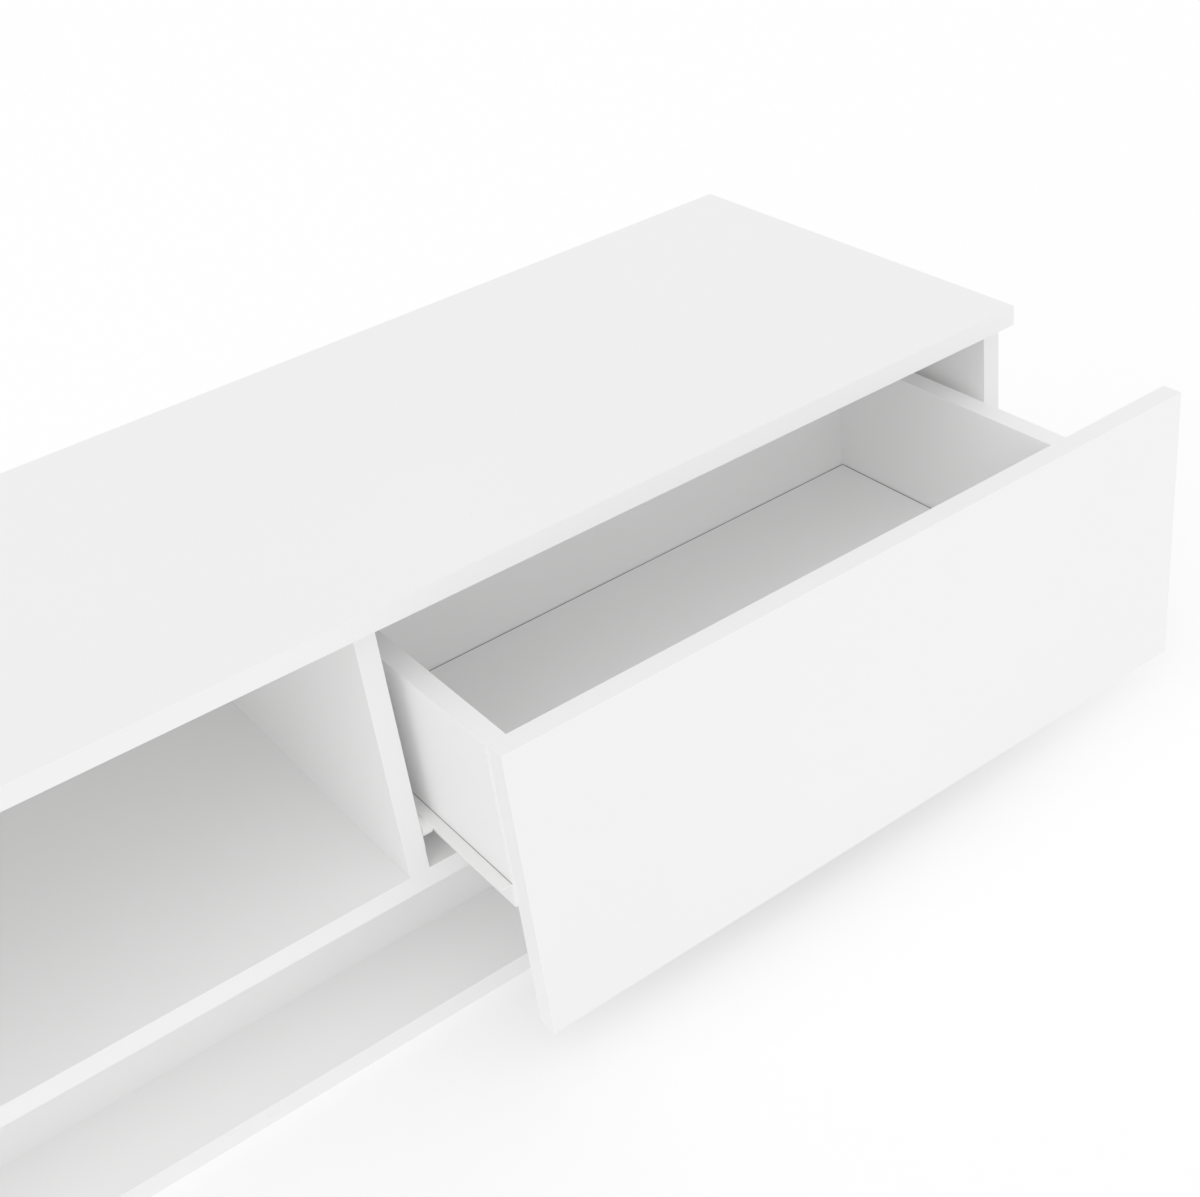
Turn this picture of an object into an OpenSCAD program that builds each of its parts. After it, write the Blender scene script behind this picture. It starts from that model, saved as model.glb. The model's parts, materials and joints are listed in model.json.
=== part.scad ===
// Low television stand in white faced board: an open middle compartment between two
// drawers whose slab fronts hang past the ends, on a recessed plinth and a base board.
// Front faces -Y, +X is to the right, Z = 0 is the floor under the base board.

/* [Cabinet] */
// Length of the top and base boards
cabinet_w = 1600; // [1320:10:2400]
// Depth of the top and base boards
cabinet_d = 350; // [290:5:500]
// Thickness of the faced boards
board_t = 15; // [15:1:19]
// Clear width of each drawer bay
drawer_bay_w = 516; // [420:2:640]
// Clear height between the bottom board and the top board
bay_h = 201; // [165:1:300]
// How far the top and base boards stand in front of the carcass
top_overhang = 15; // [10:1:25]
// Thickness of the hardboard back
back_t = 3; // [3:0.5:6]
// Gap between the hardboard back and the cabinet's ends
back_inset = 1; // [0.5:0.5:4]
// Diameter of the cable hole in the back
cable_hole_d = 60; // [40:5:80]
// Height of the cable hole's centre above the bottom board
cable_hole_rise = 60; // [55:5:80]

/* [Plinth] */
// Height of the plinth between the base board and the bottom board
plinth_h = 87; // [72:1:140]
// How far the front rail stands behind the carcass front
plinth_recess = 59; // [50:1:90]
// How far the rear rail stands in front of the base board's rear edge
plinth_rear_inset = 20; // [10:1:60]
// How far the plinth's ends stand inside the cabinet's ends
plinth_end_inset = 74; // [40:2:120]

/* [Drawers] */
// Thickness of the drawer fronts
front_t = 16; // [15:1:22]
// How far each front hangs past the cabinet's end
front_end_overhang = 75; // [0:5:100]
// Gap between the divider's face and the front's inner end
front_reveal = 14; // [2:1:20]
// Finger gap between the top board and the front's upper edge
finger_gap = 53; // [30:1:60]
// Gap between the base board and the front's lower edge
front_base_gap = 20; // [5:1:40]
// Gap between a closed front and the carcass
front_back_gap = 1; // [1:0.5:3]
// Depth of the drawer box behind its front
box_d = 237.5; // [195:0.5:285]
// Height of the drawer floor above the sides' lower edges
floor_rise = 26; // [22:1:40]
// Width of the shadow gap around the drawer floor's upper face
floor_joint_w = 1; // [0.5:0.5:2]
// Depth of the shadow gap around the drawer floor
floor_joint_depth = 2.5; // [1:0.5:3]
// How far the right drawer stands open
right_open = 90; // [0:1:185]
// How far the left drawer stands open
left_open = 0; // [0:1:185]

/* [Roller slides] */
// Length of each slide
slide_len = 250; // [215:5:300]
// Gap between the drawer box and the bay's wall
slide_gap = 13; // [12.5:0.1:14]
// Thickness of the slide's sheet steel
steel_t = 1.2; // [1:0.1:1.2]
// Height of the runner's upright leg
runner_h = 19.5; // [18.5:0.5:21]
// Height of the runner above the bottom board
runner_rise = 19.5; // [18:0.5:24]
// Width of the runner's outward lip
runner_lip = 8.5; // [7:0.5:8.5]
// Width of the runner's flange under the drawer side
runner_foot = 14; // [10:1:15]
// Height of the track's upright leg
track_h = 21; // [20:0.5:22]
// Width of the track's rolling flange
track_flange = 10; // [9:0.5:10]
// Width of the track's hold-down lip
track_lip = 4.2; // [3:0.1:4.5]
// Distance from the carcass front to the track's end
track_setback = 2; // [1:0.5:5]
// Gap between the runner's lip and the track under it
track_lip_gap = 1.8; // [1.5:0.1:2]
// Distance from the track's roller to the start of its flange and lip
track_open_len = 2.5; // [1:0.5:5]
// Distance from the runner's rear end to its roller
runner_roller_gap = 1.5; // [1:0.5:3]
// Distance from the track's front end to its first screw
track_screw_front = 37; // [32:1:45]
// Distance from the track's rear end to its last screw
track_screw_rear = 25; // [15:1:35]
// Distance from the drawer box's front and back to the runner's end screws
runner_screw_inset = 25; // [15:1:35]
// Diameter of the nylon rollers
roller_d = 17; // [16:0.5:17]
// Width of the nylon rollers
roller_w = 8; // [7:0.5:8.5]
// Diameter of the roller rivets
rivet_d = 4; // [3:0.5:5]
// Diameter of the rivet heads
rivet_head_d = 7; // [6:0.5:8]
// Thickness of the rivet heads
rivet_head_t = 0.6; // [0.4:0.1:0.6]
// Width of the rim and of the hub around the ring in a roller's face
roller_rim = 2; // [1.5:0.1:2.4]
// Depth of the ring in a roller's face
roller_ring_depth = 0.8; // [0.4:0.1:1.2]

/* [Fixings] */
// Diameter of the euro screws' heads
euro_head_d = 10; // [9:0.5:10]
// Thickness of the euro screws' heads
euro_head_h = 3; // [2:0.5:4]
// Diameter of the euro screws' plain shank
euro_shank_d = 7; // [6:0.5:7]
// Diameter of the euro screws' thread
euro_thread_d = 5; // [4:0.5:6]
// Length of the euro screws
euro_len = 50; // [40:1:50]
// Width of the hexagon socket in the euro screws' heads, over its corners
euro_socket_d = 4.6; // [3.5:0.1:5]
// Depth of the hexagon socket
euro_socket_depth = 2; // [1.5:0.5:2.5]
// Diameter of the beech dowels
dowel_d = 8; // [6:1:8]
// Length of the beech dowels
dowel_len = 30; // [25:1:35]
// Length of each dowel that sits in a board's face
dowel_in_face = 10; // [8:1:11]
// Diameter of the cam locks
cam_d = 15; // [12:1:15]
// Depth of the cam locks
cam_h = 12; // [11:0.5:13]
// Distance from a board's edge to the centre of its cam
cam_offset = 24; // [24:1:34]
// Length of the cross slot in a cam's face
cam_slot_len = 7; // [6:0.5:9]
// Width of the cross slot in a cam's face
cam_slot_w = 1.4; // [1:0.1:2]
// Depth of the cross slot in a cam's face
cam_slot_depth = 1.5; // [1:0.5:2]
// Diameter of the cam bolts' shank
cam_bolt_d = 6; // [5:0.5:7]
// Diameter of the cam bolts' thread
cam_thread_d = 5; // [4:0.5:6]
// Length of the cam bolts' thread
cam_thread_len = 11; // [8:1:12]
// Head diameter of the slide screws
slide_screw_head_d = 7; // [6:0.5:8]
// Shank diameter of the slide screws
slide_screw_d = 3.5; // [3:0.5:4]
// Length of the slide screws
slide_screw_len = 13; // [11:0.5:14]
// Length of the cross recess in the slide screws' heads
slide_recess_len = 4; // [3:0.5:4.5]
// Width of the cross recess in the slide screws' heads
slide_recess_w = 0.9; // [0.6:0.1:1.2]
// Depth of the cross recess in the slide screws' heads
slide_recess_depth = 1; // [0.5:0.1:1.2]
// Diameter of the back pins
pin_d = 1.6; // [1.2:0.1:2]
// Head diameter of the back pins
pin_head_d = 4; // [3:0.5:5]
// Head thickness of the back pins
pin_head_t = 0.8; // [0.5:0.1:1]
// Length of the back pins
pin_len = 20; // [15:1:25]

/* [Fixing positions] */
// Distance from the carcass front and back to the cams of the top board
cam_inset = 60; // [50:1:80]
// Distance from the carcass front and back to the uprights' dowels
upright_dowel_inset = 28; // [20:1:38]
// Distance from the carcass front to the uprights' front screws
upright_screw_front = 45; // [40:1:50]
// Distance from the carcass back to the uprights' rear screws
upright_screw_rear = 90; // [75:1:105]
// Distance from a drawer bay's walls to the screws into the rails
rail_screw_inset = 120; // [80:1:180]
// Distance from the cabinet's middle to the base board's inner screws
base_screw_middle = 180; // [120:1:220]
// Distance from the rails' ends to the base board's outer screws
base_screw_inset = 180; // [120:1:220]
// Distance from the rails' edges to the dowels of the plinth's cross pieces
cross_dowel_inset = 22; // [18:1:28]
// Distance from the drawer floor up to the front's lower cams
front_cam_rise = 18; // [15:1:22]
// Distance from the drawer sides' upper edges down to the front's upper cams
front_cam_drop = 30; // [25:1:35]
// Distance from the drawer floor up to the lower screws of the drawer back
box_screw_rise = 20; // [12:1:30]
// Distance from the drawer sides' upper edges down to the drawer back's upper screws
box_screw_drop = 25; // [15:1:35]
// Distance from the drawer front to the first dowels of the drawer floor
floor_dowel_front = 48; // [40:1:60]
// Distance from the drawer's rear to the last dowels of the drawer floor
floor_dowel_rear = 71; // [55:1:80]
// Distance from the drawer sides to the dowels in the floor's ends
floor_dowel_inset = 100; // [60:1:140]
// Distance from the bottom and top boards to the back's end pins
pin_inset = 30; // [20:1:45]
// Spaces between the pins along the back's lower edge
pin_spaces = 6; // [4:1:10]

/* [Clearances] */
// Radial clearance between a roller and its rivet
roller_clearance = 0.05; // [0.02:0.01:0.1]
// Gap between a roller and the steel that rolls on it
rolling_gap = 0.3; // [0.2:0.05:0.5]
// End play of a roller on its rivet
roller_play = 0.4; // [0.2:0.1:0.4]
// Radial clearance of a fixing in its hole
fit_gap = 0.1; // [0.05:0.05:0.2]
// Spare depth at the end of a fixing's hole
hole_end_gap = 1; // [0.5:0.5:2]

/* [Hidden] */
$fn = 48;

white_board = [0.94, 0.94, 0.93];
inner_board = [0.91, 0.91, 0.90];
white_hardboard = [0.88, 0.88, 0.86];
coated_steel = [0.90, 0.90, 0.89];
white_nylon = [0.96, 0.96, 0.95];
zinc = [0.72, 0.73, 0.75];
beech = [0.80, 0.65, 0.46];

// Levels
base_top = board_t;
bottom_z0 = base_top + plinth_h;
bottom_z1 = bottom_z0 + board_t;
top_z0 = bottom_z1 + bay_h;
top_z1 = top_z0 + board_t;

// Carcass
end_x = cabinet_w / 2;
carcass_y0 = top_overhang - cabinet_d / 2;
carcass_y1 = cabinet_d / 2 - back_t;
bay_x1 = end_x - board_t;
bay_x0 = bay_x1 - drawer_bay_w;
bay_mid_x = (bay_x0 + bay_x1) / 2;
side_mid_x = end_x - board_t / 2;
divider_mid_x = bay_x0 - board_t / 2;
upright_xs = [side_mid_x, divider_mid_x];
cable_hole_z = bottom_z1 + cable_hole_rise;

// Plinth
rail_y0 = carcass_y0 + plinth_recess;
rail_y1 = cabinet_d / 2 - plinth_rear_inset - board_t;
rail_x = end_x - plinth_end_inset;
plinth_end_x = rail_x - board_t / 2;
rail_mid_ys = [rail_y0 + board_t / 2, rail_y1 + board_t / 2];
cross_xs = [plinth_end_x, divider_mid_x];

// Drawer, closed, in the right bay
front_y1 = carcass_y0 - front_back_gap;
front_y0 = front_y1 - front_t;
front_x0 = bay_x0 + front_reveal;
front_x1 = end_x + front_end_overhang;
front_z0 = base_top + front_base_gap;
front_z1 = top_z0 - finger_gap;
box_x0 = bay_x0 + slide_gap;
box_x1 = bay_x1 - slide_gap;
box_y1 = front_y1 + box_d;
inner_x0 = box_x0 + board_t;
inner_x1 = box_x1 - board_t;
inner_y1 = box_y1 - board_t;
runner_z0 = bottom_z1 + runner_rise;
runner_z1 = runner_z0 + runner_h;
side_z0 = runner_z0 + steel_t;
floor_z1 = side_z0 + floor_rise;
floor_z0 = floor_z1 - board_t;
floor_mid_z = (floor_z0 + floor_z1) / 2;
back_mid_y = box_y1 - board_t / 2;

// Slides: the runner's lip rolls on the track's roller, the runner's roller in the track
roller_r = roller_d / 2;
track_roller_z = runner_z1 - steel_t - rolling_gap - roller_r;
track_z1 = runner_z1 - steel_t - track_lip_gap;
track_z0 = track_z1 - track_h;
runner_roller_z = track_z0 + steel_t + rolling_gap + roller_r;
track_y0 = carcass_y0 + track_setback;
track_roller_y = track_y0 + roller_r;
runner_roller_y = front_y1 + slide_len - roller_r - runner_roller_gap;
track_roller_x = bay_x0 + steel_t + roller_play;
runner_web_x = box_x0 - steel_t;
runner_roller_x = runner_web_x - roller_play - roller_w;

// Fixing positions
cam_ys = [carcass_y0 + cam_inset, carcass_y1 - cam_inset];
dowel_ys = [carcass_y0 + upright_dowel_inset, carcass_y1 - upright_dowel_inset];
euro_ys = [carcass_y0 + upright_screw_front, carcass_y1 - upright_screw_rear];
rail_screw_xs = [bay_x0 + rail_screw_inset, bay_x1 - rail_screw_inset];
base_screw_xs = [base_screw_middle, rail_x - base_screw_inset];
cross_dowel_zs = [base_top + cross_dowel_inset, bottom_z0 - cross_dowel_inset];
front_cam_zs = [floor_z1 + front_cam_rise, front_z1 - front_cam_drop];
box_screw_zs = [floor_z1 + box_screw_rise, front_z1 - box_screw_drop];
floor_dowel_ys = [front_y1 + floor_dowel_front, box_y1 - floor_dowel_rear];
floor_dowel_xs = [inner_x0 + floor_dowel_inset, inner_x1 - floor_dowel_inset];
track_y1 = track_y0 + slide_len;
track_screw_ys = [track_y0 + track_screw_front, (track_y0 + track_y1) / 2, track_y1 - track_screw_rear];
track_screw_z = track_z0 + track_h / 2;
runner_screw_ys = [
    front_y1 + runner_screw_inset, (front_y1 + box_y1) / 2, box_y1 - runner_screw_inset
];
runner_screw_z = runner_z0 + runner_h / 2;
pin_zs = [bottom_z1 + pin_inset, (bottom_z1 + top_z0) / 2, top_z0 - pin_inset];
pin_x = end_x - 2 * board_t;
pin_xs = [for (i = [0 : pin_spaces]) pin_x * (2 * i / pin_spaces - 1)];

// How far a cutting solid stands past the face that it opens
cut_over = 1;

// ---- placing -------------------------------------------------------------------

module block(lo, hi) {
    translate(lo) cube(hi - lo);
}

// Both hands: as drawn, and mirrored to the other end of the cabinet
module both_ends() {
    children();
    mirror([1, 0, 0]) children();
}

// From the inner wall of the right bay to its outer wall
module on_wall(outer) {
    if (outer) translate([2 * bay_mid_x, 0, 0]) mirror([1, 0, 0]) children();
    else children();
}

module both_walls() {
    on_wall(false) children();
    on_wall(true) children();
}

// A drawer's piece, drawn closed in the right bay, at its own hand and opening
module in_drawer(left) {
    if (left) mirror([1, 0, 0]) translate([0, -left_open, 0]) children();
    else translate([0, -right_open, 0]) children();
}

// ---- fixings, each along +Z from its own seat ------------------------------------

// A cross that opens Z = 0 to this depth
module cross_slot(len, w, depth) {
    for (a = [0, 90]) rotate([0, 0, a]) cube([len, w, 2 * depth], center = true);
}

// Head first: the head, the plain shank through the first board, the thread.
// With a gap it is the screw's hole, and the head has no socket.
module euro_screw(gap = 0, spare = 0) {
    difference() {
        union() {
            cylinder(d = euro_head_d + 2 * gap, h = euro_head_h);
            cylinder(d = euro_shank_d + 2 * gap, h = board_t);
            cylinder(d = euro_thread_d + 2 * gap, h = euro_len + spare);
        }
        if (gap == 0) translate([0, 0, -cut_over])
            cylinder(d = euro_socket_d, h = euro_socket_depth + cut_over, $fn = 6);
    }
}

// Half in a board's face below Z = 0, half in the edge above it
module dowel(gap = 0, spare = 0) {
    translate([0, 0, -dowel_in_face - spare])
        cylinder(d = dowel_d + 2 * gap, h = dowel_len + 2 * spare);
}

// Thread in the face below Z = 0, shank in the edge above it, as far as the cam
module cam_bolt(gap = 0, spare = 0) {
    translate([0, 0, -cam_thread_len - spare])
        cylinder(d = cam_thread_d + 2 * gap, h = cam_thread_len + spare);
    cylinder(d = cam_bolt_d + 2 * gap, h = cam_offset);
}

// Drum seen from its face, let into the board below Z = 0, bored for the bolt along +X
module cam() {
    difference() {
        translate([0, 0, -cam_h]) cylinder(d = cam_d, h = cam_h);
        translate([-fit_gap, 0, -board_t / 2]) rotate([0, 90, 0])
            cylinder(d = cam_bolt_d + 2 * fit_gap, h = cam_d);
        cross_slot(cam_slot_len, cam_slot_w, cam_slot_depth);
    }
}

module cam_hole() {
    translate([0, 0, -cam_h]) cylinder(d = cam_d + 2 * fit_gap, h = cam_h + cut_over);
}

// Countersunk head flush at Z = 0, shank along +Z; its hole has no recess
module slide_screw(gap = 0, spare = 0) {
    head_h = (slide_screw_head_d - slide_screw_d) / 2;
    difference() {
        union() {
            cylinder(
                d1 = slide_screw_head_d + 2 * gap, d2 = slide_screw_d + 2 * gap, h = head_h
            );
            cylinder(d = slide_screw_d + 2 * gap, h = slide_screw_len + spare);
        }
        if (gap == 0) cross_slot(slide_recess_len, slide_recess_w, slide_recess_depth);
    }
}

// Flat head outside Z = 0, shank along +Z
module back_pin(gap = 0, spare = 0) {
    translate([0, 0, -pin_head_t]) cylinder(d = pin_head_d, h = pin_head_t);
    cylinder(d = pin_d + 2 * gap, h = pin_len + spare);
}

// ---- fixing patterns, shared by the fixings and their holes ----------------------

// Bolts up into the top board from one upright at x
module top_bolts_at(x, gap = 0, spare = 0) {
    for (y = cam_ys) translate([x, y, top_z0]) mirror([0, 0, 1]) cam_bolt(gap, spare);
}

// Cams in the face that looks into the drawer bay; outer is the end board
module top_cam_places(outer) {
    for (y = cam_ys)
        translate([outer ? bay_x1 : bay_x0, y, top_z0 - cam_offset])
            rotate(outer ? [0, -90, 0] : [0, 90, 0]) rotate([0, 0, outer ? 0 : 180]) children();
}

module upright_dowels_at(x, gap = 0, spare = 0) {
    for (y = dowel_ys) {
        translate([x, y, top_z0]) mirror([0, 0, 1]) dowel(gap, spare);
        translate([x, y, bottom_z1]) dowel(gap, spare);
    }
}

module upright_screws_at(x, gap = 0, spare = 0) {
    for (y = euro_ys) translate([x, y, bottom_z0]) euro_screw(gap, spare);
}

// Dowels that join the plinth's cross pieces to its rails
module plinth_dowels(gap = 0, spare = 0) {
    for (x = cross_xs, z = cross_dowel_zs) {
        translate([x, rail_y0 + board_t, z]) rotate([-90, 0, 0]) dowel(gap, spare);
        translate([x, rail_y1, z]) rotate([90, 0, 0]) dowel(gap, spare);
    }
}

// Screws down through the bottom board, and up through the base board, into the rails
module rail_screws(gap = 0, spare = 0) {
    for (y = rail_mid_ys) {
        for (x = rail_screw_xs)
            translate([x, y, bottom_z1]) mirror([0, 0, 1]) euro_screw(gap, spare);
        for (x = base_screw_xs) translate([x, y, 0]) euro_screw(gap, spare);
    }
}

module back_pin_pattern(gap = 0, spare = 0) {
    for (x = [-side_mid_x, -divider_mid_x, divider_mid_x, side_mid_x], z = pin_zs)
        translate([x, cabinet_d / 2, z]) rotate([90, 0, 0]) back_pin(gap, spare);
    for (x = pin_xs)
        translate([x, cabinet_d / 2, bottom_z0 + board_t / 2]) rotate([90, 0, 0])
            back_pin(gap, spare);
}

// Screws that hold a track to its wall
module track_screw_pattern(gap = 0, spare = 0) {
    for (y = track_screw_ys)
        translate([bay_x0 + steel_t, y, track_screw_z]) rotate([0, -90, 0])
            slide_screw(gap, spare);
}

// Screws that hold a runner to its drawer side
module runner_screw_pattern(gap = 0, spare = 0) {
    for (y = runner_screw_ys)
        translate([runner_web_x, y, runner_screw_z]) rotate([0, 90, 0])
            slide_screw(gap, spare);
}

// Bolts from the drawer front into the sides, on the inner wall's side
module front_bolt_pattern(gap = 0, spare = 0) {
    for (z = front_cam_zs)
        translate([box_x0 + board_t / 2, front_y1, z]) rotate([-90, 0, 0])
            cam_bolt(gap, spare);
}

module front_cam_places() {
    for (z = front_cam_zs)
        translate([inner_x0, front_y1 + cam_offset, z]) rotate([0, 90, 0])
            rotate([0, 0, -90]) children();
}

// Screws from a drawer side into the drawer back
module box_screw_pattern(gap = 0, spare = 0) {
    for (z = box_screw_zs)
        translate([box_x0, back_mid_y, z]) rotate([0, 90, 0]) euro_screw(gap, spare);
}

// Dowels around the drawer floor
module side_floor_dowels(gap = 0, spare = 0) {
    for (y = floor_dowel_ys)
        translate([inner_x0, y, floor_mid_z]) rotate([0, 90, 0]) dowel(gap, spare);
}

module end_floor_dowels(gap = 0, spare = 0) {
    for (x = floor_dowel_xs) {
        translate([x, front_y1, floor_mid_z]) rotate([-90, 0, 0]) dowel(gap, spare);
        translate([x, inner_y1, floor_mid_z]) rotate([90, 0, 0]) dowel(gap, spare);
    }
}

// ---- cabinet -----------------------------------------------------------------------

module top_board() {
    color(white_board) difference() {
        block([-end_x, -cabinet_d / 2, top_z0], [end_x, cabinet_d / 2, top_z1]);
        both_ends() for (x = upright_xs) {
            top_bolts_at(x, fit_gap, hole_end_gap);
            upright_dowels_at(x, fit_gap, hole_end_gap);
        }
    }
}

// An upright at x on the right half of the cabinet
module upright(x, outer) {
    color(white_board) difference() {
        block([x - board_t / 2, carcass_y0, bottom_z1], [x + board_t / 2, carcass_y1, top_z0]);
        top_bolts_at(x, fit_gap, hole_end_gap);
        top_cam_places(outer) cam_hole();
        upright_dowels_at(x, fit_gap, hole_end_gap);
        upright_screws_at(x, fit_gap, hole_end_gap);
        on_wall(outer) track_screw_pattern(fit_gap, hole_end_gap);
        back_pin_pattern(fit_gap, hole_end_gap);
    }
}

module right_side_board() {
    upright(side_mid_x, true);
}

module left_side_board() {
    mirror([1, 0, 0]) right_side_board();
}

module right_divider() {
    upright(divider_mid_x, false);
}

module left_divider() {
    mirror([1, 0, 0]) right_divider();
}

module bottom_board() {
    color(white_board) difference() {
        block([-end_x, carcass_y0, bottom_z0], [end_x, carcass_y1, bottom_z1]);
        both_ends() {
            for (x = upright_xs) {
                upright_dowels_at(x, fit_gap, hole_end_gap);
                upright_screws_at(x, fit_gap, hole_end_gap);
            }
            rail_screws(fit_gap, hole_end_gap);
        }
        back_pin_pattern(fit_gap, hole_end_gap);
    }
}

module back_board() {
    color(white_hardboard) difference() {
        block(
            [back_inset - end_x, carcass_y1, bottom_z0],
            [end_x - back_inset, cabinet_d / 2, top_z0]
        );
        translate([0, carcass_y1 - cut_over, cable_hole_z]) rotate([-90, 0, 0])
            cylinder(d = cable_hole_d, h = back_t + 2 * cut_over, $fn = 96);
        back_pin_pattern(fit_gap, hole_end_gap);
    }
}

// ---- plinth ------------------------------------------------------------------------

module rail(y0) {
    color(white_board) difference() {
        block([-rail_x, y0, base_top], [rail_x, y0 + board_t, bottom_z0]);
        both_ends() {
            plinth_dowels(fit_gap, hole_end_gap);
            rail_screws(fit_gap, hole_end_gap);
        }
    }
}

module plinth_front_rail() {
    rail(rail_y0);
}

module plinth_rear_rail() {
    rail(rail_y1);
}

module plinth_cross(x) {
    color(white_board) difference() {
        block(
            [x - board_t / 2, rail_y0 + board_t, base_top],
            [x + board_t / 2, rail_y1, bottom_z0]
        );
        plinth_dowels(fit_gap, hole_end_gap);
    }
}

module plinth_right_end() {
    plinth_cross(plinth_end_x);
}

module plinth_left_end() {
    mirror([1, 0, 0]) plinth_right_end();
}

module plinth_ribs() {
    both_ends() plinth_cross(divider_mid_x);
}

module base_board() {
    color(white_board) difference() {
        block([-end_x, -cabinet_d / 2, 0], [end_x, cabinet_d / 2, base_top]);
        both_ends() rail_screws(fit_gap, hole_end_gap);
    }
}

// ---- cabinet fixings ---------------------------------------------------------------

module top_cams() {
    color(zinc) both_ends() {
        top_cam_places(false) cam();
        top_cam_places(true) cam();
    }
}

module top_cam_bolts() {
    color(zinc) both_ends() for (x = upright_xs) top_bolts_at(x);
}

module carcass_dowels() {
    color(beech) both_ends() {
        for (x = upright_xs) upright_dowels_at(x);
        plinth_dowels();
    }
}

module carcass_screws() {
    color(zinc) both_ends() {
        for (x = upright_xs) upright_screws_at(x);
        rail_screws();
    }
}

module back_pins() {
    color(zinc) back_pin_pattern();
}

module track_screws() {
    color(zinc) both_ends() both_walls() track_screw_pattern();
}

// ---- roller slides, drawn on the right bay's inner wall ----------------------------

module track() {
    channel_y0 = track_roller_y + roller_r + track_open_len;
    color(coated_steel) difference() {
        union() {
            block(
                [bay_x0, track_y0, track_z0],
                [bay_x0 + steel_t, track_y1, track_z1]
            );
            block(
                [bay_x0, channel_y0, track_z0],
                [bay_x0 + track_flange, track_y1, track_z0 + steel_t]
            );
            block(
                [bay_x0, channel_y0, track_z1 - steel_t],
                [bay_x0 + track_lip, track_y1, track_z1]
            );
        }
        track_screw_pattern(fit_gap, hole_end_gap);
        translate([bay_x0 - cut_over, track_roller_y, track_roller_z]) rotate([0, 90, 0])
            cylinder(d = rivet_d, h = steel_t + 2 * cut_over);
    }
}

module runner() {
    color(coated_steel) difference() {
        union() {
            block(
                [runner_web_x, front_y1, runner_z0],
                [box_x0, front_y1 + slide_len, runner_z1]
            );
            block(
                [box_x0 - runner_lip, front_y1, runner_z1 - steel_t],
                [box_x0, front_y1 + slide_len, runner_z1]
            );
            block(
                [runner_web_x, front_y1, runner_z0],
                [box_x0 + runner_foot, box_y1, side_z0]
            );
        }
        runner_screw_pattern(fit_gap, hole_end_gap);
        translate([runner_web_x - cut_over, runner_roller_y, runner_roller_z])
            rotate([0, 90, 0]) cylinder(d = rivet_d, h = steel_t + 2 * cut_over);
    }
}

// A roller along +X from its own face, with a shallow ring in each face
module roller() {
    color(white_nylon) difference() {
        cylinder(d = roller_d, h = roller_w);
        translate([0, 0, -cut_over])
            cylinder(d = rivet_d + 2 * roller_clearance, h = roller_w + 2 * cut_over);
        for (z = [0, roller_w]) translate([0, 0, z]) difference() {
            cylinder(d = roller_d - 2 * roller_rim, h = 2 * roller_ring_depth, center = true);
            cylinder(d = rivet_d + 2 * roller_rim, h = 2 * roller_d, center = true);
        }
    }
}

module track_roller() {
    translate([track_roller_x, track_roller_y, track_roller_z]) rotate([0, 90, 0]) roller();
}

module runner_roller() {
    translate([runner_roller_x, runner_roller_y, runner_roller_z]) rotate([0, 90, 0])
        roller();
}

// From the track's leg through the roller, headed on the far side
module track_rivet() {
    head_x = track_roller_x + roller_w + roller_play;
    color(zinc) translate([0, track_roller_y, track_roller_z]) rotate([0, 90, 0]) {
        translate([0, 0, bay_x0]) cylinder(d = rivet_d, h = head_x - bay_x0);
        translate([0, 0, head_x]) cylinder(d = rivet_head_d, h = rivet_head_t);
    }
}

module runner_rivet() {
    head_x = runner_roller_x - roller_play;
    color(zinc) translate([0, runner_roller_y, runner_roller_z]) rotate([0, 90, 0]) {
        translate([0, 0, head_x]) cylinder(d = rivet_d, h = box_x0 - head_x);
        translate([0, 0, head_x - rivet_head_t])
            cylinder(d = rivet_head_d, h = rivet_head_t);
    }
}

module track_rivets() {
    both_ends() both_walls() track_rivet();
}

module right_inner_track() {
    track();
}

module right_outer_track() {
    on_wall(true) track();
}

module left_inner_track() {
    mirror([1, 0, 0]) track();
}

module left_outer_track() {
    mirror([1, 0, 0]) on_wall(true) track();
}

module right_inner_track_roller() {
    track_roller();
}

module right_outer_track_roller() {
    on_wall(true) track_roller();
}

module left_inner_track_roller() {
    mirror([1, 0, 0]) track_roller();
}

module left_outer_track_roller() {
    mirror([1, 0, 0]) on_wall(true) track_roller();
}

// ---- drawer, drawn closed in the right bay -----------------------------------------

module drawer_front() {
    color(white_board) difference() {
        block([front_x0, front_y0, front_z0], [front_x1, front_y1, front_z1]);
        both_walls() front_bolt_pattern(fit_gap, hole_end_gap);
        end_floor_dowels(fit_gap, hole_end_gap);
    }
}

// The side against the inner wall's slide
module drawer_side() {
    color(inner_board) difference() {
        block([box_x0, front_y1, side_z0], [inner_x0, box_y1, front_z1]);
        front_bolt_pattern(fit_gap, hole_end_gap);
        front_cam_places() cam_hole();
        box_screw_pattern(fit_gap, hole_end_gap);
        side_floor_dowels(fit_gap, hole_end_gap);
        runner_screw_pattern(fit_gap, hole_end_gap);
    }
}

module drawer_back() {
    color(inner_board) difference() {
        block([inner_x0, inner_y1, side_z0], [inner_x1, box_y1, front_z1]);
        both_walls() box_screw_pattern(fit_gap, hole_end_gap);
        end_floor_dowels(fit_gap, hole_end_gap);
    }
}

// A shadow gap runs around its upper face
module drawer_floor() {
    color(inner_board) difference() {
        union() {
            block([inner_x0, front_y1, floor_z0], [inner_x1, inner_y1, floor_z1 - floor_joint_depth]);
            block(
                [inner_x0 + floor_joint_w, front_y1 + floor_joint_w, floor_z0],
                [inner_x1 - floor_joint_w, inner_y1 - floor_joint_w, floor_z1]
            );
        }
        both_walls() side_floor_dowels(fit_gap, hole_end_gap);
        end_floor_dowels(fit_gap, hole_end_gap);
    }
}

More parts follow.
